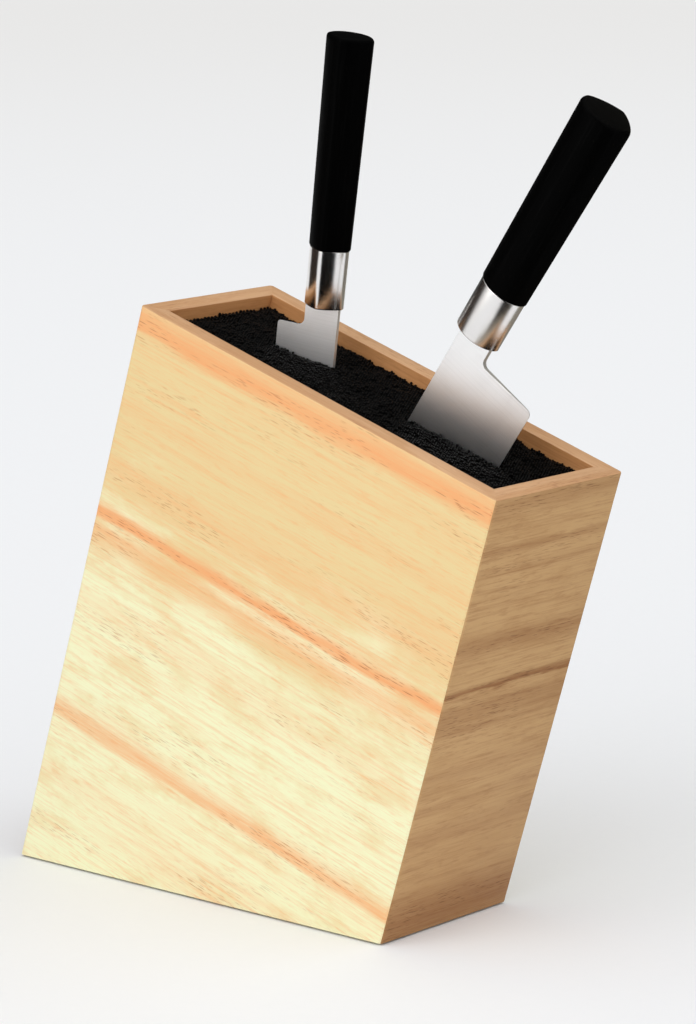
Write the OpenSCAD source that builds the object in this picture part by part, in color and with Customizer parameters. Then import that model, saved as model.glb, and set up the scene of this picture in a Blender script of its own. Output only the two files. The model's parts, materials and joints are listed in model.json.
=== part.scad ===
// Leaning wooden knife block with a lift-out bristle insert and two knives.
// The four panels form a box tube that leans along +X, and its foot is cut level.
// Origin: centre of the foot at worktop height. +X runs towards the low end, where
// the block leans over, +Y to the back and +Z up. "Lean frame" below means the frame
// that leans with the block: x down the rim, z along the panels, z = 0 at the foot's
// high end.

/* [Block] */
// Length of the level foot along X
base_l = 216; // [180:1:270]
// Depth of the block along Y
block_w = 83.6; // [69.6:0.2:110]
// Length of the high end, from foot to rim along the lean
high_side = 271.2; // [226:0.2:330]
// Lean of the block from upright, in degrees
lean = 17.5; // [14:0.5:21]
// Thickness of the wooden panels
wall = 9; // [7.5:0.1:11]
// Radius of the four long outer arrises
arris_r = 1.8; // [0.5:0.1:3]

/* [Joinery] */
// Width of the splines across the mitres
spline_w = 6; // [4:0.1:7]
// Thickness of the splines
spline_t = 2.4; // [1.6:0.1:3]
// Distance the splines stop short of the rim
spline_stop = 15; // [8:1:40]
// Distance the splines stop short of the foot
spline_foot = 8; // [4:1:20]
// Clearance round each spline in its groove
glue_gap = 0.05; // [0.02:0.01:0.2]
// Thickness of the level base board
board_t = 8; // [5:0.5:12]
// Thickness of the non-slip pad under the foot
pad_t = 1; // [0.6:0.1:4]
// Distance the pad stays inside the foot's outline
pad_inset = 3; // [1:0.5:10]
// Thickness of the floor that carries the insert
floor_t = 6; // [4:0.5:10]
// Height and width of the two cleats under that floor
cleat = 8; // [5:0.5:10]
// Gap between the cleats and the base board at the low end
cleat_gap = 1.5; // [0.5:0.1:6]

/* [Insert] */
// Depth of the bristle tips below the rim
bristle_drop = 5.5; // [2:0.1:12]
// Clearance between the insert and the panels
insert_gap = 0.5; // [0.3:0.1:1.5]
// Gap that keeps the insert off its floor
rest_gap = 0.05; // [0.02:0.01:0.3]
// Thickness of the tray's sides and floor
tray_t = 1.6; // [1:0.1:3]
// Height of the tray's sides
tray_h = 25; // [12:1:45]
// Clearance between the bristles and the tray's sides
bristle_gap = 0.1; // [0.05:0.05:0.5]
// Width of the two free lanes that take more knives
lane_w = 5; // [4.4:0.1:6]
// Clearance beside a blade in its slot
slot_side_gap = 0.35; // [0.3:0.05:0.8]
// Clearance beyond the spine and the edge in a slot
slot_end_gap = 1.5; // [0.5:0.1:3]
// Distance that the two slots pass each other along the block
slot_overlap = 14.7; // [6:0.1:16]
// Share of the free length that lies at the high end
high_share = 0.585; // [0.3:0.001:0.7]

/* [Small knife] */
// Offset of the small knife behind the block's middle
small_y = 7.1; // [5:0.1:9]
// Turn of its blade from the block's length, in degrees
small_yaw = 14.9; // [8:0.1:18]
// Tilt of its handle towards its edge, in degrees
small_tilt = 8.2; // [0:0.1:12]
// Height of its tip above the tray
small_tip_up = 43.5; // [20:0.1:60]
// Height of its collar above the rim, along its handle
small_seat = 18.6; // [14:0.1:24]
// Spine's distance from the handle's axis
small_spine = 7.8; // [6:0.1:8.5]
// Edge's distance from the handle's axis
small_edge = 20.9; // [16:0.1:26]
// Neck's distance from the handle's axis on the edge side
small_neck = 8.1; // [5:0.1:8.6]
// Height of the neck between collar and heel
small_neck_h = 10.4; // [6:0.1:14]
// Blade thickness at the spine
small_blade_t = 2.2; // [1.8:0.1:2.8]
// Half width of the collar
small_collar_r = 9.1; // [8.7:0.1:9.4]
// Length of the collar
small_collar_l = 25.7; // [15:0.1:32]
// Half width of the handle where it meets the collar
small_grip_low = 9.6; // [9.4:0.1:11]
// Half width of the handle at the butt
small_grip_top = 10.8; // [9.6:0.1:12]
// Length of the handle without the collar
small_grip_l = 92.7; // [76:0.1:112]

/* [Large knife] */
// Offset of the large knife behind the block's middle
large_y = 0.6; // [-1:0.1:1.5]
// Turn of its blade from the block's length, in degrees
large_yaw = 1.3; // [0:0.1:3]
// Tilt of its handle towards its edge, in degrees
large_tilt = 17.3; // [8:0.1:18]
// Height of its tip above the tray
large_tip_up = 38.4; // [20:0.1:60]
// Height of its collar above the rim, along its handle
large_seat = 44.6; // [38:0.1:50]
// Spine's distance from the handle's axis
large_spine = 8; // [6:0.1:10.4]
// Edge's distance from the handle's axis
large_edge = 39.5; // [32:0.1:41]
// Neck's distance from the handle's axis on the edge side
large_neck = 8.6; // [6:0.1:10]
// Height of the neck between collar and heel
large_neck_h = 9.6; // [6:0.1:14]
// Blade thickness at the spine
large_blade_t = 2.6; // [1.9:0.1:3.2]
// Half width of the collar
large_collar_r = 11.3; // [10.5:0.1:11.6]
// Length of the collar
large_collar_l = 24.3; // [15:0.1:32]
// Half width of the handle where it meets the collar
large_grip_low = 11.8; // [11.6:0.1:13]
// Half width of the handle at the butt
large_grip_top = 13.1; // [11.8:0.1:14]
// Length of the handle without the collar
large_grip_l = 91.2; // [76:0.1:112]

/* [Knife parts] */
// Length of the spigot that keys a collar into its handle
spigot_l = 5; // [3:0.5:8]
// Length of the tang above the neck
tang_l = 75; // [45:1:80]
// Width of the tang
tang_w = 9; // [6:0.5:10]
// Thickness of the tang
tang_t = 1.6; // [1.2:0.1:1.8]
// Clearance round the tang and the spigot
tang_gap = 0.05; // [0.02:0.01:0.2]
// Thickness left at the cutting edge
edge_t = 0.25; // [0.1:0.05:0.5]
// Rounding of the handle's lower edge
grip_round = 0.9; // [0.4:0.1:1.5]
// Rounding of the butt
butt_round = 2; // [1:0.1:3]

/* [Hidden] */

reach = 2 * (base_l + high_side);    // longer than anything it cuts
slope_l = base_l * cos(lean);        // length of the rim, across the lean
inner_l = slope_l - 2 * wall;
inner_w = block_w - 2 * wall;
outline_fn = 64;

// the insert's floor clears the base board and the cleats at the low end; a whole number of
// hundredths, so that the bundles sit flat on the tray
board_clear = (slope_l - wall) * tan(lean) + board_t / cos(lean) + cleat_gap;
floor_z = ceil(100 * (board_clear + cleat + floor_t)) / 100;
tray_z = floor_z + rest_gap;
tray_top = tray_z + tray_t;
bristle_top = high_side - bristle_drop;

// a grip's section: round on the left side, a soft ridge on the right side
arc_share = 0.82;      // depth of the round side over the half width
ridge_share = 0.84;    // depth of the ridge over the half width
ridge_power = 1.35;    // 1 would be two flat facets, 2 a round side
skin = 0.01;           // thickness of the slices that a hull spans
grind_steps = 8;       // flats that make up a blade's convex side

// the blades' outlines: each blade is long enough to reach its tip's height above the tray
small_tip_x = -2;
small_choil_r = 3.5;    // round between the neck and the heel
small_heel_r = 1.3;     // round at the heel's corner
small_drop = (tray_top + small_tip_up - high_side + small_tip_x * sin(small_tilt)) / cos(small_tilt);
small_len = small_seat - small_neck_h - small_drop;
small_nose = 0.227 * small_len;     // length of the spine's drop to the tip
small_belly = 0.467 * small_len;    // length of the edge's curve to the tip
large_tip_x = 29;
large_choil_r = 3;
large_heel_r = 2.5;
large_drop = (tray_top + large_tip_up - high_side + large_tip_x * sin(large_tilt)) / cos(large_tilt);
large_len = large_seat - large_neck_h - large_drop;
large_nose = 0.202 * large_len;
large_belly = 0.421 * large_len;

// room that each slot needs along the block, from the strip its blade sweeps
small_depth = high_side - tray_top - small_nose * cos(small_tilt);
small_lo = small_edge / cos(small_tilt) - bristle_drop * tan(small_tilt) + slot_end_gap;
small_hi = small_spine / cos(small_tilt) + small_depth * tan(small_tilt) + slot_end_gap;
large_depth = high_side - tray_top - large_nose * cos(large_tilt);
large_lo = large_spine / cos(large_tilt) + large_depth * tan(large_tilt) + slot_end_gap;
large_hi = large_edge / cos(large_tilt) - bristle_drop * tan(large_tilt) + slot_end_gap;
small_run = (small_lo + small_hi) * cos(small_yaw);
large_run = (large_lo + large_hi) * cos(large_yaw);

// slots and knives share the free length between the two ends
free_l = inner_l - (small_run + large_run - slot_overlap);
small_x0 = wall + high_share * free_l;
small_x1 = small_x0 + small_run;
large_x0 = small_x1 - slot_overlap;
large_x1 = large_x0 + large_run;
small_x = small_x0 + small_lo * cos(small_yaw);
large_x = large_x0 + large_lo * cos(large_yaw);

// half widths of the slots, measured across the block, and the slots' middle lines
small_half = (small_blade_t / 2 + slot_side_gap) / cos(small_yaw);
large_half = (large_blade_t / 2 + slot_side_gap) / cos(large_yaw);
function small_slot_y(x) = small_y + (x - small_x) * tan(small_yaw);
function large_slot_y(x) = large_y + (x - large_x) * tan(large_yaw);

// the insert's plan: rows in front of and behind a middle band that holds both slots
tray_x0 = wall + insert_gap;
tray_x1 = slope_l - wall - insert_gap;
tray_y = inner_w / 2 - insert_gap;
fill_x0 = tray_x0 + tray_t + bristle_gap;
fill_x1 = tray_x1 - tray_t - bristle_gap;
fill_y = tray_y - tray_t - bristle_gap;
back_lane_y = (fill_y + small_slot_y(small_x1) + small_half) / 2;
front_lane_y = (-fill_y + large_slot_y(large_x0) - large_half) / 2;
band_front = front_lane_y + lane_w / 2;
band_back = back_lane_y - lane_w / 2;

// points of a quadratic curve, without its first point
function curve(a, b, c, steps) = [for (i = [1:steps]) let (t = i / steps)
    (1 - t) * (1 - t) * a + 2 * t * (1 - t) * b + t * t * c];
// points of an arc from one angle to another
function arc(centre, r, from, to, steps) = [for (i = [0:steps])
    let (a = from + (to - from) * i / steps) centre + r * [cos(a), sin(a)]];
// a grip's outline for one half width, drawn in by inset all round
function grip_outline(half, inset) = [for (i = [0:71]) let (
        a = i * 5,
        p = a < 180 ? 2 / ridge_power : 1,
        depth = half * (a < 180 ? ridge_share : arc_share))
    [sign(cos(a)) * pow(abs(cos(a)), p) * (half - inset),
     sign(sin(a)) * pow(abs(sin(a)), p) * (depth - inset)]];

// ---- frames ----

module in_lean() {
    translate([-base_l / 2, 0, pad_t]) rotate([0, lean, 0]) children();
}

// a knife's own frame: +X towards its edge, +Y its right side, +Z up its handle,
// z = 0 at the collar's lower face
module in_knife(x, y, turn, tilt, seat) {
    in_lean() translate([x, y, high_side]) rotate([0, 0, turn]) rotate([0, tilt, 0])
        translate([0, 0, seat]) children();
}
module in_small_knife() {
    in_knife(small_x, small_y, 180 + small_yaw, small_tilt, small_seat) children();
}
module in_large_knife() {
    in_knife(large_x, large_y, large_yaw, large_tilt, large_seat) children();
}

// ---- block ----

// the block's outer plan in the lean frame, with round arrises
module block_outline() {
    translate([arris_r, -block_w / 2]) square([slope_l - 2 * arris_r, block_w]);
    translate([0, arris_r - block_w / 2]) square([slope_l, block_w - 2 * arris_r]);
    for (x = [arris_r, slope_l - arris_r], y = [-1, 1])
        translate([x, y * (block_w / 2 - arris_r)]) circle(r = arris_r, $fn = outline_fn);
}

// plan of one spline in the mitre of the corner at x_side, y_side (each 0 or 1),
// grown all round by gap
module spline_plan(x_side, y_side, gap) {
    inward = (wall + spline_t / 2) / 2;
    translate([x_side * slope_l, (y_side - 0.5) * block_w])
        rotate(x_side == y_side ? 45 : -45)
            translate([(x_side == 0 ? 1 : -1) * inward * sqrt(2), 0])
                square([spline_t + 2 * gap, spline_w + 2 * gap], center = true);
}
module spline_solid(x_side, y_side, gap) {
    foot = x_side * slope_l * tan(lean) + spline_foot;
    in_lean() translate([0, 0, foot - gap])
        linear_extrude(high_side - spline_stop - foot + 2 * gap)
            spline_plan(x_side, y_side, gap);
}

// one mitred panel: its plan points, extruded along the lean and cut level at the foot
module panel(points) {
    difference() {
        intersection() {
            in_lean() linear_extrude(high_side) intersection() {
                polygon(points);
                block_outline();
            }
            translate([-reach / 2, -reach / 2, pad_t]) cube(reach);
        }
        for (x_side = [0, 1], y_side = [0, 1]) spline_solid(x_side, y_side, glue_gap);
    }
}
// a long panel on the side given by -1 (front) or 1 (back)
module long_panel(side) {
    outer = side * block_w / 2;
    inner = outer - side * wall;
    panel([[0, outer], [slope_l, outer], [slope_l - wall, inner], [wall, inner]]);
}
// an end panel with its outer face at x and its inner face at x_in
module end_panel(x, x_in) {
    panel([[x, -block_w / 2], [x_in, -inner_w / 2], [x_in, inner_w / 2], [x, block_w / 2]]);
}

module front_panel() { color([0.95, 0.84, 0.62]) long_panel(-1); }
module back_panel() { color([0.93, 0.81, 0.58]) long_panel(1); }
module high_end_panel() { color([0.80, 0.62, 0.41]) end_panel(0, wall); }
module low_end_panel() { color([0.74, 0.55, 0.35]) end_panel(slope_l, slope_l - wall); }

module front_high_spline() { color([0.62, 0.40, 0.24]) spline_solid(0, 0, 0); }
module front_low_spline() { color([0.62, 0.40, 0.24]) spline_solid(1, 0, 0); }
module back_high_spline() { color([0.62, 0.40, 0.24]) spline_solid(0, 1, 0); }
module back_low_spline() { color([0.62, 0.40, 0.24]) spline_solid(1, 1, 0); }

module base_board() {
    color([0.86, 0.70, 0.46]) intersection() {
        in_lean() translate([wall, -inner_w / 2, -high_side])
            cube([inner_l, inner_w, 2 * high_side]);
        translate([-reach / 2, -reach / 2, pad_t]) cube([reach, reach, board_t]);
    }
}

module base_pad() {
    color([0.10, 0.10, 0.10])
        translate([pad_inset - base_l / 2, pad_inset - block_w / 2, 0])
            cube([base_l - 2 * pad_inset, block_w - 2 * pad_inset, pad_t]);
}

module inner_floor() {
    color([0.84, 0.68, 0.44]) in_lean()
        translate([wall, -inner_w / 2, floor_z - floor_t]) cube([inner_l, inner_w, floor_t]);
}

module cleat_solid(y) {
    color([0.82, 0.66, 0.42]) in_lean()
        translate([wall + cleat, y, floor_z - floor_t - cleat])
            cube([inner_l - 2 * cleat, cleat, cleat]);
}
module front_cleat() { cleat_solid(-inner_w / 2); }
module back_cleat() { cleat_solid(inner_w / 2 - cleat); }

// ---- insert ----

module insert_tray() {
    color([0.09, 0.09, 0.10]) in_lean() translate([tray_x0, -tray_y, tray_z])
        difference() {
            cube([tray_x1 - tray_x0, 2 * tray_y, tray_h]);
            translate([tray_t, tray_t, tray_t])
                cube([tray_x1 - tray_x0 - 2 * tray_t, 2 * (tray_y - tray_t), tray_h]);
        }
}

// one upright bundle of bristles over a plan outline
module bundle(points) {
    color([0.13, 0.13, 0.14]) in_lean() translate([0, 0, tray_top])
        linear_extrude(bristle_top - tray_top) polygon(points);
}
module upright_bundle(x0, x1, y0, y1) {
    bundle([[x0, y0], [x1, y0], [x1, y1], [x0, y1]]);
}

module front_row_bristles() {
    upright_bundle(fill_x0, fill_x1, -fill_y, front_lane_y - lane_w / 2);
}
module back_row_bristles() {
    upright_bundle(fill_x0, fill_x1, back_lane_y + lane_w / 2, fill_y);
}
module high_end_bristles() { upright_bundle(fill_x0, small_x0, band_front, band_back); }
module low_end_bristles() { upright_bundle(large_x1, fill_x1, band_front, band_back); }

module small_slot_front_bristles() {
    bundle([[small_x0, band_front], [large_x0, band_front],
        [large_x0, small_slot_y(large_x0) - small_half],
        [small_x0, small_slot_y(small_x0) - small_half]]);
}
module small_slot_back_bristles() {
    bundle([[small_x0, small_slot_y(small_x0) + small_half],
        [small_x1, small_slot_y(small_x1) + small_half],
        [small_x1, band_back], [small_x0, band_back]]);
}
module between_slots_bristles() {
    bundle([[large_x0, large_slot_y(large_x0) + large_half],
        [small_x1, large_slot_y(small_x1) + large_half],
        [small_x1, small_slot_y(small_x1) - small_half],
        [large_x0, small_slot_y(large_x0) - small_half]]);
}
module large_slot_front_bristles() {
    bundle([[large_x0, band_front], [large_x1, band_front],
        [large_x1, large_slot_y(large_x1) - large_half],
        [large_x0, large_slot_y(large_x0) - large_half]]);
}
module large_slot_back_bristles() {
    bundle([[small_x1, large_slot_y(small_x1) + large_half],
        [large_x1, large_slot_y(large_x1) + large_half],
        [large_x1, band_back], [small_x1, band_back]]);
}

// ---- knives ----

// side view of a blade and its neck: x towards the edge, y up the handle
module blade_outline(spine, neck, edge, neck_h, len, nose, belly, tip_x, choil_r, heel_r) {
    tip = [tip_x, -neck_h - len];
    polygon(concat(
        [[-spine, 0], [neck, 0]],
        arc([neck + choil_r, choil_r - neck_h], choil_r, 180, 270, 8),
        arc([edge - heel_r, -neck_h - heel_r], heel_r, 90, 0, 6),
        [[edge, tip[1] + belly]],
        curve([edge, tip[1] + belly], [edge, tip[1] + 0.3 * belly], tip, 16),
        curve(tip, [-spine, tip[1] + 0.25 * nose], [-spine, tip[1] + nose], 12)));
}

// one side of a convex ground blade, from the spine down to the edge
function grind(spine, edge, full) = [for (i = [0:grind_steps]) let (u = i / grind_steps)
    [u * (spine + edge) - spine, edge_t / 2 + (full - edge_t / 2) * (1 - u * u)]];

// a ground blade: the outline, thick at the spine and thin at the edge, with its tang
module blade(spine, neck, edge, neck_h, len, nose, belly, tip_x, choil_r, heel_r, thick) {
    right = grind(spine, edge, thick / 2);
    left = [for (i = [grind_steps:-1:0]) [right[i][0], -right[i][1]]];
    intersection() {
        rotate([90, 0, 0]) linear_extrude(2 * thick, center = true)
            blade_outline(spine, neck, edge, neck_h, len, nose, belly, tip_x, choil_r, heel_r);
        translate([0, 0, -neck_h - len - 1]) linear_extrude(neck_h + len + 1)
            polygon(concat(right, left));
    }
    translate([-tang_w / 2, -tang_t / 2, 0]) cube([tang_w, tang_t, tang_l]);
}

// the hole that a tang needs, over its whole length
module tang_hole() {
    translate([-tang_w / 2 - tang_gap, -tang_t / 2 - tang_gap, -1])
        cube([tang_w + 2 * tang_gap, tang_t + 2 * tang_gap, tang_l + 1 + tang_gap]);
}

// half sizes of the collar's spigot along x and y
function spigot(collar_r) = [0.7 * collar_r, 0.45 * collar_r];

module collar(collar_r, collar_l) {
    key = spigot(collar_r);
    edge_round = 0.5;
    difference() {
        union() {
            hull() {
                linear_extrude(skin) polygon(grip_outline(collar_r, edge_round));
                translate([0, 0, edge_round]) linear_extrude(collar_l - edge_round)
                    polygon(grip_outline(collar_r, 0));
            }
            translate([-key[0], -key[1], collar_l - 1])
                cube([2 * key[0], 2 * key[1], spigot_l + 1]);
        }
        tang_hole();
    }
}

module handle(collar_r, collar_l, low, top, len) {
    key = spigot(collar_r) + [tang_gap, tang_gap];
    difference() {
        translate([0, 0, collar_l]) hull() {
            linear_extrude(skin) polygon(grip_outline(low, grip_round));
            translate([0, 0, grip_round]) linear_extrude(skin)
                polygon(grip_outline(low, 0));
            translate([0, 0, len - butt_round]) linear_extrude(skin)
                polygon(grip_outline(top, 0));
            translate([0, 0, len - 0.45 * butt_round]) linear_extrude(skin)
                polygon(grip_outline(top, 0.45 * butt_round));
            translate([0, 0, len - skin]) linear_extrude(skin)
                polygon(grip_outline(top, 1.6 * butt_round));
        }
        tang_hole();
        translate([-key[0], -key[1], collar_l - 1])
            cube([2 * key[0], 2 * key[1], spigot_l + 1 + tang_gap]);
    }
}

module small_blade() {
    color([0.80, 0.81, 0.83]) in_small_knife()
        blade(small_spine, small_neck, small_edge, small_neck_h, small_len, small_nose,
            small_belly, small_tip_x, small_choil_r, small_heel_r, small_blade_t);
}
module small_collar() {
    color([0.70, 0.70, 0.71]) in_small_knife() collar(small_collar_r, small_collar_l);
}
module small_handle() {
    color([0.03, 0.03, 0.03]) in_small_knife()
        handle(small_collar_r, small_collar_l, small_grip_low, small_grip_top, small_grip_l);
}

module large_blade() {
    color([0.80, 0.81, 0.83]) in_large_knife()
        blade(large_spine, large_neck, large_edge, large_neck_h, large_len, large_nose,
            large_belly, large_tip_x, large_choil_r, large_heel_r, large_blade_t);
}
module large_collar() {
    color([0.70, 0.70, 0.71]) in_large_knife() collar(large_collar_r, large_collar_l);
}
module large_handle() {
    color([0.03, 0.03, 0.03]) in_large_knife()
        handle(large_collar_r, large_collar_l, large_grip_low, large_grip_top, large_grip_l);
}

front_panel();
back_panel();
high_end_panel();
low_end_panel();
front_high_spline();
front_low_spline();
back_high_spline();
back_low_spline();
base_board();
base_pad();
inner_floor();
front_cleat();
back_cleat();
insert_tray();
front_row_bristles();
back_row_bristles();
high_end_bristles();
low_end_bristles();
small_slot_front_bristles();
small_slot_back_bristles();
between_slots_bristles();
large_slot_front_bristles();
large_slot_back_bristles();
small_blade();
small_collar();
small_handle();
large_blade();
large_collar();
large_handle();
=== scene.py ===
# Leaning knife block with a rod insert and two kitchen knives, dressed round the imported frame.
import json
import math
import random

import bmesh
import bpy
from mathutils import Matrix, Vector, noise
from mathutils.kdtree import KDTree


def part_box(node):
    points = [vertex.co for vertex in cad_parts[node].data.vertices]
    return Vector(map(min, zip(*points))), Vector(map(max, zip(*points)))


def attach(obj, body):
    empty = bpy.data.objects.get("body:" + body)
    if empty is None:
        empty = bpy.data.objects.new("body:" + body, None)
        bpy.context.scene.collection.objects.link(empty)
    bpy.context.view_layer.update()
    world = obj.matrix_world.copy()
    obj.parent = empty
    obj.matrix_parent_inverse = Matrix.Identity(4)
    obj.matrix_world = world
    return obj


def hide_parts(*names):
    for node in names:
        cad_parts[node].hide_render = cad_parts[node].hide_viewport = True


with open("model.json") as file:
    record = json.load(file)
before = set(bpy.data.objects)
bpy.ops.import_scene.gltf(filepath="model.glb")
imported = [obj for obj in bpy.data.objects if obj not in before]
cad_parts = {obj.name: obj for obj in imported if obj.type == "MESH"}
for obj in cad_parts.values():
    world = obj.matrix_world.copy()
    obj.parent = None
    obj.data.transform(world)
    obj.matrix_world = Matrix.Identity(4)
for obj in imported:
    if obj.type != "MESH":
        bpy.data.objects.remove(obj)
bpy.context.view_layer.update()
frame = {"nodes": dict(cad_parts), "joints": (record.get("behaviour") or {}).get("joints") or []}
mm = 0.001
print("frame loaded:", len(frame["nodes"]), "nodes")

slides = {joint["name"]: Vector(joint["axis"]).normalized() for joint in frame["joints"]}
leanUp = slides["insert_slide"]
leanTurn = Matrix.Rotation(math.atan2(leanUp.x, leanUp.z), 4, "Y")  # upright to leaning
panelNames = ("front_panel", "back_panel", "high_end_panel", "low_end_panel")


def spanIn(place, *nodes):
    # lowest and highest corners of some nodes, measured in another frame
    back = place.inverted()
    points = [back @ vertex.co for node in nodes for vertex in frame["nodes"][node].data.vertices]
    low = Vector([min(point[axis] for point in points) for axis in range(3)])
    high = Vector([max(point[axis] for point in points) for axis in range(3)])
    return low, high


blockLow, blockHigh = spanIn(leanTurn, *panelNames)
highEndLow, highEndHigh = spanIn(leanTurn, "high_end_panel")
wall = highEndHigh.x - highEndLow.x
rim = blockHigh.z
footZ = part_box("front_panel")[0].z


def knifePlace(kind):
    # +X towards the edge, +Y the right side, +Z up the handle, origin at the collar's lower face
    up = slides[kind + "_knife_slide"]
    side = leanUp.cross(up).normalized()
    turn = Matrix((side.cross(up), side, up)).transposed().to_4x4()
    bladeLow, bladeHigh = spanIn(turn, kind + "_blade")
    collarLow, collarHigh = spanIn(turn, kind + "_collar")
    middle = ((collarLow.x + collarHigh.x) / 2, (bladeLow.y + bladeHigh.y) / 2, collarLow.z)
    return turn @ Matrix.Translation(middle)


class Signal:
    # one socket's output, with arithmetic that adds Math nodes
    def __init__(self, graph, socket):
        self.graph = graph
        self.socket = socket

    def reckon(self, operation, first, second=0.0):
        return self.graph.add("ShaderNodeMath", {"operation": operation}, {0: first, 1: second})

    def __add__(self, other):
        return self.reckon("ADD", self, other)

    def __radd__(self, other):
        return self.reckon("ADD", other, self)

    def __sub__(self, other):
        return self.reckon("SUBTRACT", self, other)

    def __rsub__(self, other):
        return self.reckon("SUBTRACT", other, self)

    def __mul__(self, other):
        return self.reckon("MULTIPLY", self, other)

    def __rmul__(self, other):
        return self.reckon("MULTIPLY", other, self)

    def __pow__(self, other):
        return self.reckon("POWER", self, other)

    def __or__(self, other):
        return self.reckon("MAXIMUM", self, other)

    def __and__(self, other):
        return self.reckon("MINIMUM", self, other)


class Graph:
    def __init__(self, owner):
        owner.use_nodes = True
        self.tree = owner.node_tree
        self.tree.nodes.clear()

    def add(self, kind, settings=None, inputs=None, output=0):
        node = self.tree.nodes.new(kind)
        for name, value in (settings or {}).items():
            setattr(node, name, value)
        for key, value in (inputs or {}).items():
            if isinstance(value, Signal):
                self.tree.links.new(value.socket, node.inputs[key])
            else:
                node.inputs[key].default_value = value
        return Signal(self, node.outputs[output]) if node.outputs else None

    def mix(self, factor, first, second, blend="MIX"):
        return self.add("ShaderNodeMix", {"data_type": "RGBA", "blend_type": blend},
                        {0: factor, 6: first, 7: second}, output=2)

    def ease(self, value, start, end):
        # smooth 0 to 1 as value goes from start to end
        return self.add("ShaderNodeMapRange", {"interpolation_type": "SMOOTHSTEP"},
                        {"Value": value, "From Min": start, "From Max": end})

    def turned(self, turn, shift=(0, 0, 0)):
        # Object coordinates turned into a frame of their own
        place = self.add("ShaderNodeTexCoord", output="Object")
        return self.add("ShaderNodeMapping", None,
                        {"Vector": place, "Rotation": turn.to_euler(), "Location": shift})

    def stretched(self, vector, stretch):
        return self.add("ShaderNodeVectorMath", {"operation": "MULTIPLY"}, {0: vector, 1: stretch})

    def grain(self, vector, stretch, detail=3, roughness=0.5, distortion=0):
        # noise, stretched by one number per axis or by one for all three
        scale = 1.0
        if isinstance(stretch, tuple):
            vector = self.stretched(vector, stretch)
        else:
            scale = stretch
        return self.add("ShaderNodeTexNoise", None,
                        {"Vector": vector, "Scale": scale, "Detail": detail,
                         "Roughness": roughness, "Distortion": distortion})

    def cells(self, vector, stretch, output=0):
        return self.add("ShaderNodeTexVoronoi", None,
                        {"Vector": self.stretched(vector, stretch), "Scale": 1.0}, output=output)

    def bump(self, height, strength, distance):
        return self.add("ShaderNodeBump", None,
                        {"Height": height, "Strength": strength, "Distance": distance})

    def finish(self, inputs):
        surface = self.add("ShaderNodeBsdfPrincipled", None, inputs)
        self.add("ShaderNodeOutputMaterial", None, {"Surface": surface})


def newMaterial(name):
    material = bpy.data.materials.new(name)
    return material, Graph(material)


longPanelWood = {
    "pale": (0.805, 0.805, 0.520, 1), "golden": (0.735, 0.580, 0.292, 1),
    "warm": (0.800, 0.370, 0.150, 1), "fleck": (0.430, 0.165, 0.060, 1),
    # warm streaks along the grain: start, peak and end below the rim in mm, and strength
    "streaks": [(-5, 8, 15, 0.92), (1, 2.2, 3.5, 0.30), (90, 96.5, 101.5, 1.0), (97, 105, 118, 0.50),
                (184, 195, 200, 0.72), (38, 45, 52, 0.22), (64, 75, 86, 0.28),
                (128, 138, 150, 0.16), (214, 222, 236, 0.18)],
    "goldenAbove": (66, 142),    # golden near the rim, paler below, in mm
    "roughness": 0.50,
}
# the end panels' wood: a darker, browner copy of the long panels' wood, painted shade for the end panel
# that stands in shadow
endPanelShadedWood = {
    "pale": (0.530, 0.325, 0.145, 1), "golden": (0.450, 0.258, 0.106, 1),
    "warm": (0.265, 0.110, 0.036, 1), "fleck": (0.170, 0.072, 0.028, 1),
    "streaks": [(-6, 4, 12, 0.35), (21, 24, 27, 0.38), (30, 34, 37, 0.22), (58, 69, 74, 0.48),
                (85, 89.5, 91, 0.90), (91, 99, 114, 0.42), (104, 108, 111, 0.30),
                (120, 128, 140, 0.18), (141, 144, 146, 0.22), (150, 158, 166, 0.22),
                (176, 200, 214, 0.70)],
    "goldenAbove": (240, 100),
    "roughness": 0.52,
}
rimWood = {
    "pale": (0.680, 0.435, 0.245, 1), "golden": (0.600, 0.360, 0.185, 1),
    "warm": (0.440, 0.205, 0.090, 1), "fleck": (0.250, 0.095, 0.040, 1),
    "streaks": [(-12, 0, 12, 0.30)], "goldenAbove": (-10, 10), "roughness": 0.58,
}
# the inside faces: a darker, redder copy of the wood, painted shade for the hollow of the block
innerShadedWood = {
    "pale": (0.600, 0.300, 0.120, 1), "golden": (0.510, 0.235, 0.085, 1),
    "warm": (0.320, 0.120, 0.040, 1), "fleck": (0.120, 0.045, 0.020, 1),
    "streaks": [(8, 14, 24, 0.5), (60, 70, 90, 0.4)], "goldenAbove": (0, 60), "roughness": 0.62,
}
woodGrain = {
    # noise by the part it plays: stretch along and across the grain, detail, roughness, distortion
    "sway": ((4, 7, 7), 1), "ragged": ((26, 260, 260), 4, 0.65), "warmth": ((5, 80, 80), 5, 0.65),
    "figure": ((12, 48, 48), 5, 0.62, 0.6), "blotch": ((34, 90, 90), 4, 0.6),
    "bands": ((9, 360, 360), 4, 0.7), "lines": ((30, 1300, 1300), 4, 0.75),
    "rays": ((90, 620, 620), 3, 0.65), "patches": ((12, 70, 70), 3),
    "pores": ((130, 1500, 1500), (75, 1100, 1100)),
}
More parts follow.
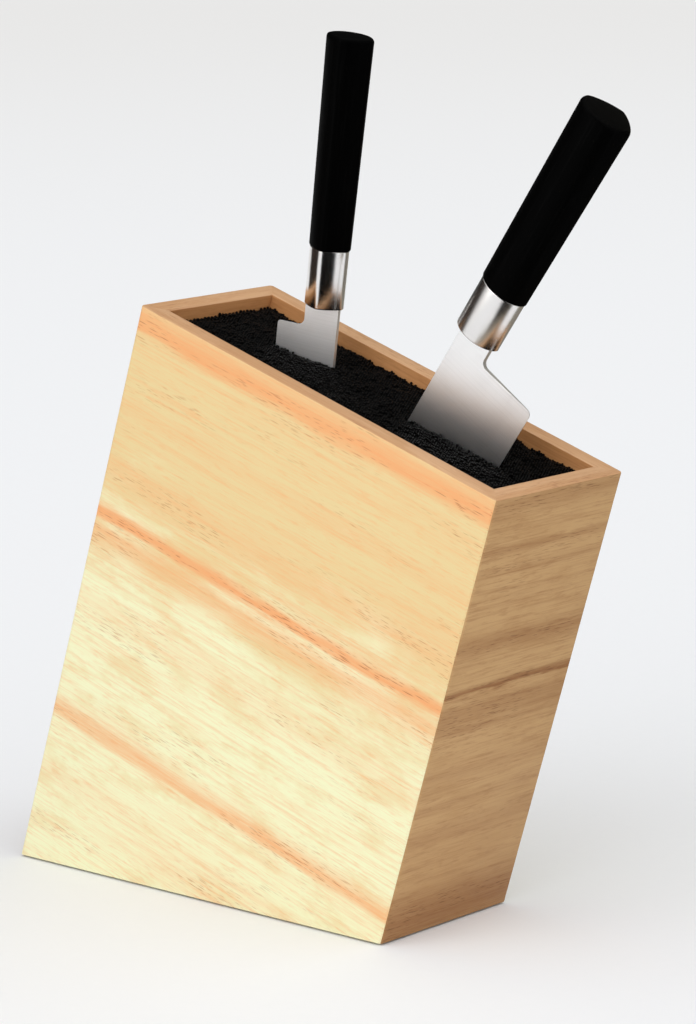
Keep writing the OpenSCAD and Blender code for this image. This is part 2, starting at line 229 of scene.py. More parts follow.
woodTones = {
    # the noise value where each one starts to show, where it is full, and its strength there
    "warmth": (0.52, 0.80, 0.40), "blotch": (0.48, 0.68, 0.50), "bands": (0.48, 0.70, 0.30),
    "lines": (0.47, 0.72, 0.36), "rays": (0.51, 0.72, 0.32),
    "swayBy": 5, "raggedBy": 7, "figureBy": 190,    # how far each one moves a colour, in mm
    "lineContrast": 1.2, "specular": 0.30, "bump": 0.25, "bumpDepth": 0.10 * mm,
    # pores: their edge within a cell, where they crowd, the pull of warm wood, and their strength
    "poreEdge": (0.08, 0.30), "poreCrowd": (0.51, 0.68), "poreWarmth": 0.20,
    "poreStrength": 0.55, "poreStrengthWarm": 0.40,
}
alongX = leanTurn.inverted()                                    # grain along the rim's slope
alongY = Matrix.Rotation(math.radians(-90), 4, "Z") @ alongX    # grain across the block


def woodMaterial(name, look, turn):
    material, graph = newMaterial(name)
    place = graph.turned(turn)
    height = graph.add("ShaderNodeSeparateXYZ", None, {0: place}, output="Z")

    def eased(kind, value):
        start, end, strength = woodTones[kind]
        return graph.ease(value, start, end) * strength

    # the streaks run straight, with a slight sway and ragged edges
    sway = graph.grain(place, *woodGrain["sway"])
    ragged = graph.grain(place, *woodGrain["ragged"])
    below = ((rim - height) * (1 / mm) + (sway - 0.5) * woodTones["swayBy"]
             + (ragged - 0.5) * woodTones["raggedBy"])
    warm = eased("warmth", graph.grain(place, *woodGrain["warmth"]))
    for start, peak, end, strength in look["streaks"]:
        rise = graph.ease(below, start, peak)
        fall = graph.ease(below, end, peak)
        warm = warm | ((rise & fall) * strength)

    # slow change from golden to pale, broken by soft figure
    figure = graph.grain(place, *woodGrain["figure"])
    start, end = look["goldenAbove"]
    paleness = graph.ease(below + (figure - 0.5) * woodTones["figureBy"], start, end)
    colour = graph.mix(paleness, look["golden"], look["pale"])
    blotch = graph.grain(place, *woodGrain["blotch"])
    colour = graph.mix(eased("blotch", blotch), colour, look["golden"])

    # long fine lines, short rays, then the dark pores that gather near the streaks
    fine = {kind: graph.grain(place, *woodGrain[kind]) for kind in ("bands", "lines", "rays")}
    lines = fine["lines"]
    colour = graph.mix(warm + (lines - 0.5) * warm * woodTones["lineContrast"], colour, look["warm"])
    for kind, value in fine.items():
        colour = graph.mix(eased(kind, value), colour, look["warm"])
    patches = graph.grain(place, *woodGrain["patches"])
    crowding = graph.ease(patches + warm * woodTones["poreWarmth"], *woodTones["poreCrowd"])
    pores = None
    for stretch in woodGrain["pores"]:
        layer = (1 - graph.ease(graph.cells(place, stretch), *woodTones["poreEdge"])) * crowding
        pores = layer if pores is None else pores | layer
    poreStrength = woodTones["poreStrength"] + warm * woodTones["poreStrengthWarm"]
    colour = graph.mix(pores * poreStrength, colour, look["fleck"])

    relief = lines * 0.5 + (1 - pores) * 0.5
    graph.finish({
        "Base Color": colour,
        "Roughness": look["roughness"] + (lines - 0.5) * 0.16 + pores * 0.15,
        "Specular IOR Level": woodTones["specular"],
        "Normal": graph.bump(relief, woodTones["bump"], woodTones["bumpDepth"]),
    })
    return material


# lines is the stretch of the brush lines in the knife's own frame, depth is how hard they bite
bladeSteel = {"tint": (0.98, 0.98, 0.98, 1), "dull": (0.86, 0.86, 0.86, 1), "lines": (12, 60, 2000),
              "roughness": {"small": 0.46, "large": 0.32}, "depth": {"small": 0.90, "large": 0.75}}
collarSteel = {"tint": (0.90, 0.88, 0.86, 1), "dull": (0.80, 0.78, 0.76, 1), "lines": (12, 12, 3200),
               "roughness": {"small": 0.14, "large": 0.20}, "depth": {"small": 0.35, "large": 0.60}}


def steelMaterial(name, look, place, kind):
    material, graph = newMaterial(name)
    local = graph.turned(place.inverted(), shift=place.inverted().translation)
    lines = graph.grain(local, look["lines"], detail=5, roughness=0.72)
    clouds = graph.grain(local, (60, 60, 60))
    scuffs = graph.grain(local, tuple(value * 0.3 for value in look["lines"]), detail=2)
    shade = graph.ease(lines, 0.35, 0.70) * 0.55 + graph.ease(clouds, 0.4, 0.7) * 0.25
    graph.finish({
        "Base Color": graph.mix(shade, look["tint"], look["dull"]),
        "Metallic": 1.0,
        "Roughness": look["roughness"][kind] + (lines - 0.5) * 0.16 + graph.ease(scuffs, 0.6, 0.8) * 0.05,
        "Normal": graph.bump(lines, look["depth"][kind], 0.05 * mm),
    })
    return material


gripPlastic = {"tint": (0.0004, 0.0004, 0.0004, 1), "worn": (0.0015, 0.0015, 0.0015, 1),
               "roughness": 0.50, "specular": 0.02}
rodPlastic = {"tint": (0.0003, 0.0003, 0.0003, 1), "pale": (0.0016, 0.0015, 0.0014, 1),
              "roughness": 0.14, "specular": 0.11}
trayPlastic = {"tint": (0.012, 0.012, 0.012, 1), "worn": (0.022, 0.022, 0.022, 1),
               "roughness": 0.55, "specular": 0.4, "grainSize": 0.5 * mm}
padRubber = {"tint": (0.018, 0.018, 0.018, 1), "worn": (0.034, 0.033, 0.032, 1),
             "roughness": 0.85, "specular": 0.2, "grainSize": 0.8 * mm}


def gripMaterial(name, look, place):
    # pressed grip: fine long fibres under a matt skin
    material, graph = newMaterial(name)
    local = graph.turned(place.inverted(), shift=place.inverted().translation)
    fibres = graph.grain(local, (900, 900, 30), detail=4, roughness=0.65)
    skin = graph.grain(local, (2600, 2600, 2600), detail=2)
    graph.finish({
        "Base Color": graph.mix(graph.ease(fibres, 0.5, 0.75), look["tint"], look["worn"]),
        "Roughness": look["roughness"] + (skin - 0.5) * 0.20 + (fibres - 0.5) * 0.12,
        "Specular IOR Level": look["specular"],
        "Normal": graph.bump(skin * 0.6 + fibres * 0.4, 0.30, 0.05 * mm),
    })
    return material


def mouldedMaterial(name, look):
    material, graph = newMaterial(name)
    place = graph.add("ShaderNodeTexCoord", output="Object")
    texture = graph.grain(place, 1 / look["grainSize"])
    clouds = graph.grain(place, 60)
    graph.finish({
        "Base Color": graph.mix(graph.ease(clouds, 0.4, 0.7), look["tint"], look["worn"]),
        "Roughness": look["roughness"] + (texture - 0.5) * 0.2,
        "Specular IOR Level": look["specular"],
        "Normal": graph.bump(texture, 0.3, 0.06 * mm),
    })
    return material


def rodMaterial(name, look):
    # every rod catches its own shade, because a cell is about one rod across
    material, graph = newMaterial(name)
    place = graph.turned(alongX)
    cells = graph.cells(place, (820, 820, 4), output="Color")
    tone = graph.add("ShaderNodeSeparateColor", None, {"Color": cells})
    drawn = graph.grain(place, (2400, 2400, 60), detail=2)
    graph.finish({
        "Base Color": graph.mix(tone ** 3, look["tint"], look["pale"]),
        "Roughness": look["roughness"] + (tone - 0.5) * 0.18 + (drawn - 0.5) * 0.08,
        "Specular IOR Level": look["specular"],
        "Normal": graph.bump(drawn, 0.15, 0.04 * mm),
    })
    return material


longWood = woodMaterial("longPanelWood", longPanelWood, alongX)
# the end panels' outside wood carries painted shade
endShadedWood = woodMaterial("endPanelShadedWood", endPanelShadedWood, alongY)
longRimWood = woodMaterial("longRimWood", rimWood, alongX)
endRimWood = woodMaterial("endRimWood", rimWood, alongY)
# the inner woods are darker copies with painted shade
longInnerShadedWood = woodMaterial("longInnerShadedWood", innerShadedWood, alongX)
endInnerShadedWood = woodMaterial("endInnerShadedWood", innerShadedWood, alongY)
rodBlack = rodMaterial("rodBlack", rodPlastic)
trayBlack = mouldedMaterial("trayBlack", trayPlastic)
padBlack = mouldedMaterial("padBlack", padRubber)
print("materials made")


def addPiece(name, bm, body, materials, nodes=(), sharpAt=35):
    # turns a bmesh into a finished piece that rides on its body
    for face in bm.faces:
        face.smooth = True
    for edge in bm.edges:
        if len(edge.link_faces) == 2 and edge.calc_face_angle() > math.radians(sharpAt):
            edge.smooth = False
    mesh = bpy.data.meshes.new(name)
    bm.to_mesh(mesh)
    bm.free()
    for material in materials:
        mesh.materials.append(material)
    piece = bpy.data.objects.new(name, mesh)
    bpy.context.scene.collection.objects.link(piece)
    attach(piece, body)
    if nodes:
        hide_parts(*nodes)


def dressNode(node, material):
    data = frame["nodes"][node].data
    data.materials.clear()
    data.materials.append(material)


blockLook = {"arrisRound": 1.8 * mm, "arrisSteps": 6, "rimRound": 0.5 * mm, "rimSteps": 3,
             "mitreGap": 0.02 * mm}


def cutAway(bm, point, normal):
    # removes what lies beyond a plane and closes the cut
    geometry = bm.verts[:] + bm.edges[:] + bm.faces[:]
    cut = bmesh.ops.bisect_plane(bm, geom=geometry, plane_co=point, plane_no=normal,
                                 clear_outer=True)
    edges = [item for item in cut["geom_cut"] if isinstance(item, bmesh.types.BMEdge)]
    bmesh.ops.edgeloop_fill(bm, edges=edges)


def makePanel(name, node, facing, woods):
    # facing is the panel's outward direction in the leaning frame, woods are outside, rim and inside; the
    # inside wood carries painted shade, and so does the end panels' outside wood
    bm = bmesh.new()
    middle = (blockLow + blockHigh) / 2
    size = blockHigh - blockLow
    bmesh.ops.create_cube(bm, size=1)
    bmesh.ops.scale(bm, vec=size, verts=bm.verts)
    bmesh.ops.translate(bm, vec=middle, verts=bm.verts)
    arrises = [edge for edge in bm.edges
               if abs(edge.verts[0].co.z - edge.verts[1].co.z) > size.z / 2]
    bmesh.ops.bevel(bm, geom=arrises, offset=blockLook["arrisRound"], affect="EDGES",
                    segments=blockLook["arrisSteps"], profile=0.5, material=-1)

    # the inner face, then the mitre at each end
    half = Vector((size.x / 2 * facing.x, size.y / 2 * facing.y, 0))
    cutAway(bm, middle + half - facing * wall, -facing)
    across = Vector((-facing.y, facing.x, 0))
    reach = size.x / 2 if abs(across.x) > 0.5 else size.y / 2
    for end in (-1, 1):
        corner = middle + half + across * end * reach
        gap = blockLook["mitreGap"] / 2
        cutAway(bm, corner - across * end * gap, (across * end - facing).normalized())

    # soften the outer and inner edges of the rim, and leave the mitres sharp
    softened = []
    for edge in bm.edges:
        along = (edge.verts[1].co - edge.verts[0].co).normalized()
        onRim = min(vertex.co.z for vertex in edge.verts) > rim - 1e-6
        onMitre = abs(abs(along.dot(across)) - math.sqrt(0.5)) < 0.05
        if onRim and not onMitre and len(edge.link_faces) == 2 and abs(edge.calc_face_angle()) > 1:
            softened.append(edge)
    bmesh.ops.bevel(bm, geom=softened, offset=blockLook["rimRound"], affect="EDGES",
                    segments=blockLook["rimSteps"], profile=0.5, material=-1)
    # rim faces take the rim wood, inner faces the inner wood with its painted shade
    for face in bm.faces:
        if face.normal.z > 0.5:
            face.material_index = 1
        elif face.normal.dot(-facing) > 0.9:
            face.material_index = 2

    # lean it over and cut the foot level
    bmesh.ops.transform(bm, matrix=leanTurn, verts=bm.verts)
    cutAway(bm, Vector((0, 0, footZ)), Vector((0, 0, -1)))
    bmesh.ops.recalc_face_normals(bm, faces=bm.faces)
    addPiece(name, bm, "block", woods, [node], sharpAt=40)


# outside, rim and inside woods; the inside ones, and the end panels' outside one, carry painted shade
longWoods = [longWood, longRimWood, longInnerShadedWood]
endWoods = [endShadedWood, endRimWood, endInnerShadedWood]
makePanel("frontPanel", "front_panel", Vector((0, -1, 0)), longWoods)
makePanel("backPanel", "back_panel", Vector((0, 1, 0)), longWoods)
makePanel("highEndPanel", "high_end_panel", Vector((-1, 0, 0)), endWoods)
makePanel("lowEndPanel", "low_end_panel", Vector((1, 0, 0)), endWoods)
# the splines and the boards take the inner wood with its painted shade
for splineNode in ("front_high_spline", "front_low_spline", "back_high_spline", "back_low_spline"):
    dressNode(splineNode, endInnerShadedWood)
for boardNode in ("base_board", "inner_floor", "front_cleat", "back_cleat"):
    dressNode(boardNode, longInnerShadedWood)
dressNode("base_pad", padBlack)
dressNode("insert_tray", trayBlack)
print("block made")


gripLook = {"segments": 96, "ridgePower": 1.35, "footRound": 0.9 * mm, "buttRound": 1.9 * mm,
            "crown": 0.35 * mm, "roundSteps": 6, "footBand": 1.5 * mm, "crownReach": 0.9,
            "ringShares": (0.25, 0.5, 0.75)}
collarLook = {"footRound": 0.5 * mm, "topRound": 0.35 * mm, "roundSteps": 4,
              "keyInset": (1.5 * mm, 2.5 * mm)}
# angles in degrees: flat faces are merged below flatAngle, and shading breaks above shadeAngle
bladeLook = {"edgeRound": 0.22 * mm, "edgeSteps": 2, "thinPart": 0.40 * mm, "mergeGap": 0.001 * mm,
             "flatAngle": 0.4, "thickAngle": 50, "shadeAngle": 12}


def sweptGrip(rings, roundShare, ridgeShare):
    # a unit tube with one ring per height, pushed out to the grip's section
    bm = bmesh.new()
    count = gripLook["segments"]
    bottom = bmesh.ops.create_circle(bm, cap_ends=True, segments=count, radius=1)["verts"]
    edges = [edge for edge in bm.edges if edge.verts[0] in bottom and edge.verts[1] in bottom]
    for _ in rings[1:]:
        grown = bmesh.ops.extrude_edge_only(bm, edges=edges)["geom"]
        verts = [item for item in grown if isinstance(item, bmesh.types.BMVert)]
        bmesh.ops.translate(bm, vec=(0, 0, 1), verts=verts)
        edges = [item for item in grown if isinstance(item, bmesh.types.BMEdge)
                 and item.verts[0] in verts and item.verts[1] in verts]
    bmesh.ops.edgeloop_fill(bm, edges=edges)
    for vertex in bm.verts:
        height, half, inset = rings[round(vertex.co.z)]
        angle = math.atan2(vertex.co.y, vertex.co.x)
        onRidge = angle > 0
        power = 2 / gripLook["ridgePower"] if onRidge else 1
        depth = half * (ridgeShare if onRidge else roundShare)
        x = math.copysign(abs(math.cos(angle)) ** power, math.cos(angle)) * (half - inset)
        y = math.copysign(abs(math.sin(angle)) ** power, math.sin(angle)) * (depth - inset)
        vertex.co = (x, y, height)
    return bm


def roundedRings(height, half, radius, steps, opening):
    # rings of a quarter round; opening is true at a lower end, where the section grows
    rings = []
    for step in range(steps + 1):
        angle = math.pi / 2 * (step / steps)
        if opening:
            rings.append((height + radius * (1 - math.cos(angle)), half, radius * (1 - math.sin(angle))))
        else:
            rings.append((height - radius * (1 - math.sin(angle)), half, radius * (1 - math.cos(angle))))
    return rings


def makeKnife(kind):
    place = knifePlace(kind)
    body = kind + "_knife"
    collarLow, collarHigh = spanIn(place, kind + "_collar")
    gripLow, gripHigh = spanIn(place, kind + "_handle")
    bladeLow, bladeHigh = spanIn(place, kind + "_blade")
    collarHalf = collarHigh.x
    shares = (-collarLow.y / collarHalf, collarHigh.y / collarHalf)
    back = place.inverted()
    gripPoints = [back @ vertex.co for vertex in frame["nodes"][kind + "_handle"].data.vertices]
    halfLow = max(abs(point.x) for point in gripPoints if point.z < gripLow.z + gripLook["footBand"])
    halfTop = gripHigh.x

    # handle: rounded foot, straight taper, rounded butt with a slight crown
    steps = gripLook["roundSteps"]
    top = gripHigh.z - gripLook["crown"]
    rings = roundedRings(gripLow.z, halfLow, gripLook["footRound"], steps, True)
    for share in gripLook["ringShares"]:
        height = gripLow.z + (top - gripLow.z) * share
        rings.append((height, halfLow + (halfTop - halfLow) * share, 0))
    rings += roundedRings(top, halfTop, gripLook["buttRound"], steps, False)
    inset = gripLook["buttRound"]
    for share in gripLook["ringShares"]:
        rings.append((top + gripLook["crown"] * math.sin(share * math.pi / 2), halfTop,
                      inset + (halfTop * min(shares) - inset) * share * gripLook["crownReach"]))
    bm = sweptGrip(rings, *shares)
    bmesh.ops.transform(bm, matrix=place, verts=bm.verts)
    bmesh.ops.recalc_face_normals(bm, faces=bm.faces)
    addPiece(kind + "Handle", bm, body,
             [gripMaterial(kind + "Grip", gripPlastic, place)], [kind + "_handle"])

    # collar: rounded at both ends, running a little way into the handle
    rings = roundedRings(0, collarHalf, collarLook["footRound"], collarLook["roundSteps"], True)
    rings += roundedRings(gripLow.z, collarHalf, collarLook["topRound"], collarLook["roundSteps"], False)
    for height, keyInset in zip((gripLow.z, collarHigh.z), collarLook["keyInset"]):
        rings.append((height, collarHalf, keyInset))
    bm = sweptGrip(rings, *shares)
    bmesh.ops.transform(bm, matrix=place, verts=bm.verts)
    bmesh.ops.recalc_face_normals(bm, faces=bm.faces)
    addPiece(kind + "Collar", bm, body,
             [steelMaterial(kind + "CollarSteel", collarSteel, place, kind)],
             [kind + "_collar"])

    # blade: the ground shape with its thick edges eased
    bm = bmesh.new()
    bm.from_mesh(frame["nodes"][kind + "_blade"].data)
    bmesh.ops.remove_doubles(bm, verts=bm.verts, dist=bladeLook["mergeGap"])
    bmesh.ops.dissolve_limit(bm, angle_limit=math.radians(bladeLook["flatAngle"]), verts=bm.verts,
                             edges=bm.edges)
    thickAngle = math.radians(bladeLook["thickAngle"])
    thick = [edge for edge in bm.edges
             if len(edge.link_faces) == 2 and edge.calc_face_angle() > thickAngle
             and min(abs((back @ vertex.co).y) for vertex in edge.verts) > bladeLook["thinPart"]]
    bmesh.ops.bevel(bm, geom=thick, offset=bladeLook["edgeRound"], affect="EDGES",
                    segments=bladeLook["edgeSteps"], profile=0.5, material=-1, clamp_overlap=True)
    addPiece(kind + "Blade", bm, body,
             [steelMaterial(kind + "BladeSteel", bladeSteel, place, kind)],
             [kind + "_blade"], sharpAt=bladeLook["shadeAngle"])
    print(kind, "knife made")


makeKnife("small")
makeKnife("large")


rodLook = {
    "radius": 0.61 * mm, "spacing": 1.29 * mm, "sides": 6, "tipRound": 0.50 * mm, "tipSteps": 3,
    "wallGap": 0.15 * mm, "bladeGap": 0.12 * mm, "spineGap": 0.8 * mm,
    "heightSpread": 0.35 * mm, "heightLimit": 0.7 * mm, "waveHeight": 0.9 * mm, "waveScale": 90,
    "splayDepth": 9 * mm, "shortStep": 6 * mm, "shortest": 2.5 * mm,
    "jitter": 0.13, "shuffles": 7, "push": 0.30, "seed": 11,
}
bundleNodes = {
    "frontRowRods": "front_row_bristles", "backRowRods": "back_row_bristles",
    "highEndRods": "high_end_bristles", "lowEndRods": "low_end_bristles",
    "smallSlotFrontRods": "small_slot_front_bristles", "smallSlotBackRods": "small_slot_back_bristles",
    "betweenSlotsRods": "between_slots_bristles", "largeSlotFrontRods": "large_slot_front_bristles",
    "largeSlotBackRods": "large_slot_back_bristles",
}
bundleSpans = {piece: spanIn(leanTurn, node) for piece, node in bundleNodes.items()}
rodFoot = bundleSpans["frontRowRods"][0].z
rodTop = bundleSpans["frontRowRods"][1].z
fillLow = Vector((bundleSpans["frontRowRods"][0].x, bundleSpans["frontRowRods"][0].y))
fillHigh = Vector((bundleSpans["frontRowRods"][1].x, bundleSpans["backRowRods"][1].y))
innerLow = Vector((blockLow.x + wall, blockLow.y + wall))
innerHigh = Vector((blockHigh.x - wall, blockHigh.y - wall))


class BladeTrace:
    # where one blade stands among the rods, in the leaning frame's plan
    def __init__(self, kind):
        place = leanTurn.inverted() @ knifePlace(kind)
        low, high = spanIn(knifePlace(kind), kind + "_blade")
        self.origin = place.translation
        self.ahead = Vector((place[0][0], place[1][0])).normalized()     # towards the edge
        self.side = Vector((place[0][1], place[1][1]))
        self.slope = math.tan(leanUp.angle(slides[kind + "_knife_slide"]))
        cosine = math.cos(math.atan(self.slope))
        self.spine = low.x / cosine
        self.edge = high.x / cosine
        self.clear = (high.y - low.y) / 2 + rodLook["radius"] + rodLook["bladeGap"]
        self.margin = rodLook["radius"] + rodLook["bladeGap"]
        self.sweep = (rodTop - rodFoot) * self.slope

    def placeOf(self, point):
        offset = point - self.origin.xy
        return offset.dot(self.ahead), offset.dot(self.side)

    def limits(self):
        # spine and edge at the height of the rod tips
        drift = (rodTop - self.origin.z) * self.slope
        return self.spine + drift, self.edge + drift

    def pushOut(self, point):
        u, v = self.placeOf(point)
        spine, edge = self.limits()
        if abs(v) < self.clear and spine - self.margin < u < edge + self.margin:
            return self.side * (math.copysign(self.clear, v) - v)
        return Vector((0, 0))

    def lowestFoot(self, point):
        # how far down a rod can reach before it meets the spine
        u, v = self.placeOf(point)
        spine, edge = self.limits()
        if abs(v) >= self.clear or u > edge or u < spine - self.sweep:
            return rodFoot
        meets = self.origin.z + (u + self.margin - self.spine) / self.slope
        return max(rodFoot, meets + rodLook["spineGap"])


def scatterRods():
    # a loose hexagonal packing, shuffled until rods stand clear of each other and the blades
    chance = random.Random(rodLook["seed"])
    step = rodLook["spacing"]
    margin = rodLook["radius"] + rodLook["wallGap"]
    low = innerLow + Vector((margin, margin))
    high = innerHigh - Vector((margin, margin))
    jitter = step * rodLook["jitter"]
    columns = int((high.x - low.x) / step)
    rows = int((high.y - low.y) / (step * math.sqrt(0.75)))
    points = []
    for row in range(rows + 1):
        for column in range(columns + 1):
            x = low.x + (column + 0.5 * (row % 2)) * (high.x - low.x) / (columns + 0.5)
            y = low.y + row * (high.y - low.y) / rows
            points.append(Vector((x + chance.gauss(0, jitter), y + chance.gauss(0, jitter))))
    for _ in range(rodLook["shuffles"]):
        tree = KDTree(len(points))
        for index, point in enumerate(points):
            tree.insert(point.to_3d(), index)
        tree.balance()
        moved = []
        for index, point in enumerate(points):
            shift = Vector((0, 0))
            for near, other, distance in tree.find_range(point.to_3d(), step):
                if other != index and distance > 1e-7:
                    shift += (point - near.xy) * ((step - distance) / distance * rodLook["push"])
            point = point + shift
            for trace in traces:
                point = point + trace.pushOut(point)
            point.x = min(max(point.x, low.x), high.x)
            point.y = min(max(point.y, low.y), high.y)
            moved.append(point)
        points = moved
    return points


def splayed(value, fillEnd, innerEnd, direction):
    # a rod by the wall leans out above the tray: its foot stands this much further in
    nearness = 1 - abs(innerEnd - value) / rodLook["splayDepth"]
    return -direction * abs(innerEnd - fillEnd) * max(0.0, nearness) ** 2


def rodTemplate(length):
    bm = bmesh.new()
    bmesh.ops.create_cone(bm, cap_ends=True, segments=rodLook["sides"], radius1=rodLook["radius"],
                          radius2=rodLook["radius"], depth=length)
    bmesh.ops.translate(bm, vec=(0, 0, -length / 2), verts=bm.verts)
    tip = [edge for edge in bm.edges if min(vertex.co.z for vertex in edge.verts) > -1e-7]
    bmesh.ops.bevel(bm, geom=tip, offset=rodLook["tipRound"], affect="EDGES",
                    segments=rodLook["tipSteps"], profile=0.5, material=-1)
    mesh = bpy.data.meshes.new("rodTemplate")
    bm.to_mesh(mesh)
    bm.free()
    return mesh


def bundleOf(point):
    # the bundle whose plan holds a rod's foot
    small, large = traces
    middle = bundleSpans["highEndRods"]
    if point.y < bundleSpans["frontRowRods"][1].y:
        return "frontRowRods"
    if point.y > bundleSpans["backRowRods"][0].y:
        return "backRowRods"
    if point.y < middle[0].y:
        return "frontLaneRods"
    if point.y > middle[1].y:
        return "backLaneRods"
    if point.x < middle[1].x:
        return "highEndRods"
    if point.x > bundleSpans["lowEndRods"][0].x:
        return "lowEndRods"
    beforeSmall = small.placeOf(point)[1] > 0      # the small knife's right side faces front
    beforeLarge = large.placeOf(point)[1] < 0
    if point.x < bundleSpans["betweenSlotsRods"][0].x:
        return "smallSlotFrontRods" if beforeSmall else "smallSlotBackRods"
    if point.x > bundleSpans["betweenSlotsRods"][1].x:
        return "largeSlotFrontRods" if beforeLarge else "largeSlotBackRods"
    if beforeLarge:
        return "largeSlotFrontRods"
    return "betweenSlotsRods" if beforeSmall else "smallSlotBackRods"


def makeRods():
    chance = random.Random(rodLook["seed"] + 1)
    templates = {}
    bundles = {}
    fullLength = rodTop - rodFoot
    limit = rodLook["heightLimit"]
    for point in scatterRods():
        foot = max(trace.lowestFoot(point) for trace in traces)
        depth = rodTop - foot
        if depth < rodLook["shortest"]:
            continue
        if depth < fullLength - 1e-6:
            whole = math.floor(depth / rodLook["shortStep"]) * rodLook["shortStep"]
            depth = max(rodLook["shortest"], whole)
        if depth not in templates:
            templates[depth] = rodTemplate(depth)
        nearWall = Vector((splayed(point.x, fillLow.x, innerLow.x, -1)
                           + splayed(point.x, fillHigh.x, innerHigh.x, 1),
                           splayed(point.y, fillLow.y, innerLow.y, -1)
                           + splayed(point.y, fillHigh.y, innerHigh.y, 1)))
        waveAt = (point.x * rodLook["waveScale"], point.y * rodLook["waveScale"], 0)
        wave = noise.noise(waveAt) * rodLook["waveHeight"]
        height = rodTop + wave + max(-limit, min(limit, chance.gauss(0, rodLook["heightSpread"])))
        lean = Matrix.Identity(4)
        lean[0][2] = -nearWall.x / fullLength
        lean[1][2] = -nearWall.y / fullLength
        spin = Matrix.Rotation(chance.uniform(0, math.pi / 3), 4, "Z")
        place = leanTurn @ Matrix.Translation((point.x, point.y, height)) @ lean @ spin
        bundle = bundles.setdefault(bundleOf(point), bmesh.new())
        rod = templates[depth]
        rod.transform(place)
        bundle.from_mesh(rod)
        rod.transform(place.inverted())
    for name, bundle in sorted(bundles.items()):
        nodes = [bundleNodes[name]] if name in bundleNodes else []
        addPiece(name, bundle, "insert", [rodBlack], nodes, sharpAt=70)
    for template in templates.values():
        bpy.data.meshes.remove(template)
    print("rods made:", sorted(bundles))


traces = [BladeTrace("small"), BladeTrace("large")]
makeRods()


# the floor: painted cool near the block against the warm bounce light, and painted darker far away as
# shade where the light falls off
stageLook = {"floorSize": 30.0, "near": (0.850, 0.866, 0.893, 1), "farPaintedShade": (0.790, 0.791, 0.792, 1),
             "shadeFade": (0.8, 6.0), "fleck": (0.97, 0.97, 0.97, 1), "fibres": 180}
cardLook = {
    # reflector cards that only polished steel sees: azimuths in degrees, radius and height along the
    # card, and tint
    "cameraSide": {"turn": (-62, -18), "profile": [(0.34, 0.001), (0.50, 0.001), (0.50, 1.3)],
                   "tint": (0.003, 0.003, 0.003, 1)},
    "nearGround": {"turn": (-85, -18), "profile": [(0.15, 0.001), (0.34, 0.001)],
                   "tint": (0.300, 0.270, 0.230, 1)},
    "leftSide": {"turn": (-186, -143), "profile": [(0.22, 0.001), (0.60, 0.001), (0.60, 1.0)],
                 "tint": (0.030, 0.022, 0.018, 1)},
    "rightSide": {"turn": (15, 100), "profile": [(0.24, 0.001), (0.60, 0.001), (0.60, 1.0)],
                  "tint": (0.230, 0.215, 0.185, 1)},
}
skyLook = {
    "base": 0.45, "seen": 0.90, "tint": (1, 0.995, 0.985, 1),
    # soft lights: azimuth and height of the centre in degrees, inner and outer spread, brightness
    "lobes": [(-96, 14, 10, 50, 1.35), (-10, 62, 20, 75, 1.0), (135, 18, 15, 60, -0.40)],
}
cameraLook = {"place": (1158.4 * mm, -1262.1 * mm, 494.5 * mm), "azimuth": 41.174, "down": 10.858,
              "roll": 0.305, "lens": 140.33, "clipStart": 0.01}


def makeFloor():
    bm = bmesh.new()
    bmesh.ops.create_grid(bm, x_segments=1, y_segments=1, size=stageLook["floorSize"] / 2)
    mesh = bpy.data.meshes.new("floor")
    bm.to_mesh(mesh)
    bm.free()
    floor = bpy.data.objects.new("floor", mesh)
    bpy.context.scene.collection.objects.link(floor)
    material, graph = newMaterial("floorPaper")
    place = graph.add("ShaderNodeTexCoord", output="Object")
    fibres = graph.grain(place, stageLook["fibres"], detail=4)
    distance = graph.add("ShaderNodeVectorMath", {"operation": "LENGTH"}, {0: place}, output="Value")
    # painted shade: the floor darkens with distance, and is tinted cool near the block against the warm
    # bounce light
    tint = graph.mix(graph.ease(distance, *stageLook["shadeFade"]), stageLook["near"], stageLook["farPaintedShade"])
    graph.finish({"Base Color": graph.mix(fibres * 0.5, tint, stageLook["fleck"], "MULTIPLY"),
                  "Roughness": 0.9 + (fibres - 0.5) * 0.1, "Specular IOR Level": 0.1})
    mesh.materials.append(material)


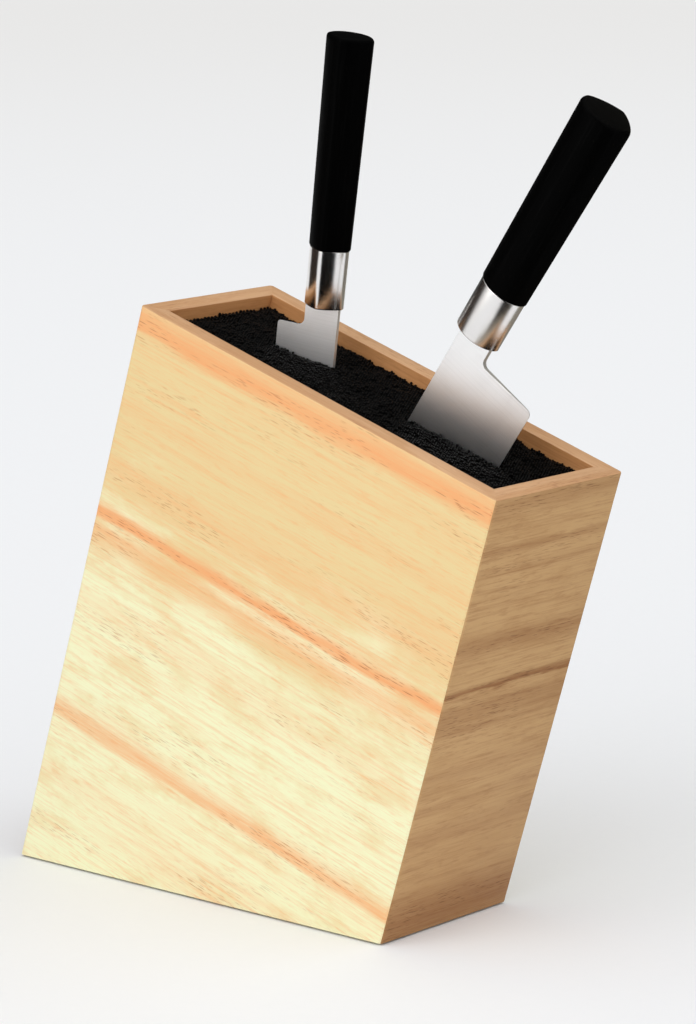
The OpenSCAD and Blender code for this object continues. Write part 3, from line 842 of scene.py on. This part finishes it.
def makeCard(name, look):
    # a strip of card bent round the block
    bm = bmesh.new()
    start, end = look["turn"]
    verts = [bmesh.ops.create_vert(bm, co=(radius, 0, height))["vert"][0]
             for radius, height in look["profile"]]
    edges = [bm.edges.new(pair) for pair in zip(verts, verts[1:])]
    bmesh.ops.rotate(bm, verts=bm.verts, cent=(0, 0, 0),
                     matrix=Matrix.Rotation(math.radians(start), 3, "Z"))
    bmesh.ops.spin(bm, geom=verts + edges, cent=(0, 0, 0), axis=(0, 0, 1), steps=16,
                   angle=math.radians(end - start), use_merge=False)
    mesh = bpy.data.meshes.new(name)
    bm.to_mesh(mesh)
    bm.free()
    material, graph = newMaterial(name)
    graph.finish({"Base Color": look["tint"], "Roughness": 1.0, "Specular IOR Level": 0.0})
    mesh.materials.append(material)
    card = bpy.data.objects.new(name, mesh)
    bpy.context.scene.collection.objects.link(card)
    card.visible_camera = False
    card.visible_diffuse = False
    card.visible_shadow = False


def makeSky():
    world = bpy.data.worlds.new("studio")
    bpy.context.scene.world = world
    graph = Graph(world)
    direction = graph.add("ShaderNodeTexCoord", output="Generated")
    glow = None
    for *angles, brightness in skyLook["lobes"]:
        azimuth, height, inner, outer = map(math.radians, angles)
        centre = (math.cos(azimuth) * math.cos(height), math.sin(azimuth) * math.cos(height),
                  math.sin(height))
        facing = graph.add("ShaderNodeVectorMath", {"operation": "DOT_PRODUCT"},
                           {0: direction, 1: centre}, output="Value")
        lobe = graph.ease(facing, math.cos(outer), math.cos(inner)) * brightness
        glow = lobe if glow is None else glow + lobe
    light = (glow + skyLook["base"]) | 0.0
    seen = graph.add("ShaderNodeLightPath", output="Is Camera Ray")
    strength = light + seen * (skyLook["seen"] - light)
    background = graph.add("ShaderNodeBackground", None,
                           {"Color": skyLook["tint"], "Strength": strength})
    graph.add("ShaderNodeOutputWorld", None, {"Surface": background})


def makeCamera():
    camera = bpy.data.objects.new("camera", bpy.data.cameras.new("camera"))
    bpy.context.scene.collection.objects.link(camera)
    camera.data.lens = cameraLook["lens"]
    camera.data.clip_start = cameraLook["clipStart"]
    azimuth, tilt, roll = (math.radians(cameraLook[key]) for key in ("azimuth", "down", "roll"))
    ahead = Vector((-math.sin(azimuth) * math.cos(tilt), math.cos(azimuth) * math.cos(tilt),
                    -math.sin(tilt)))
    right = Vector((math.cos(azimuth), math.sin(azimuth), 0))
    down = ahead.cross(right)
    x = right * math.cos(roll) + down * math.sin(roll)
    y = right * math.sin(roll) - down * math.cos(roll)
    turn = Matrix((x, y, -ahead)).transposed().to_4x4()
    camera.matrix_world = Matrix.Translation(cameraLook["place"]) @ turn
    bpy.context.scene.camera = camera


makeFloor()
for cardName, look in cardLook.items():
    makeCard(cardName + "Card", look)
makeSky()
makeCamera()
bpy.context.scene.view_settings.view_transform = "Standard"
print("stage made")
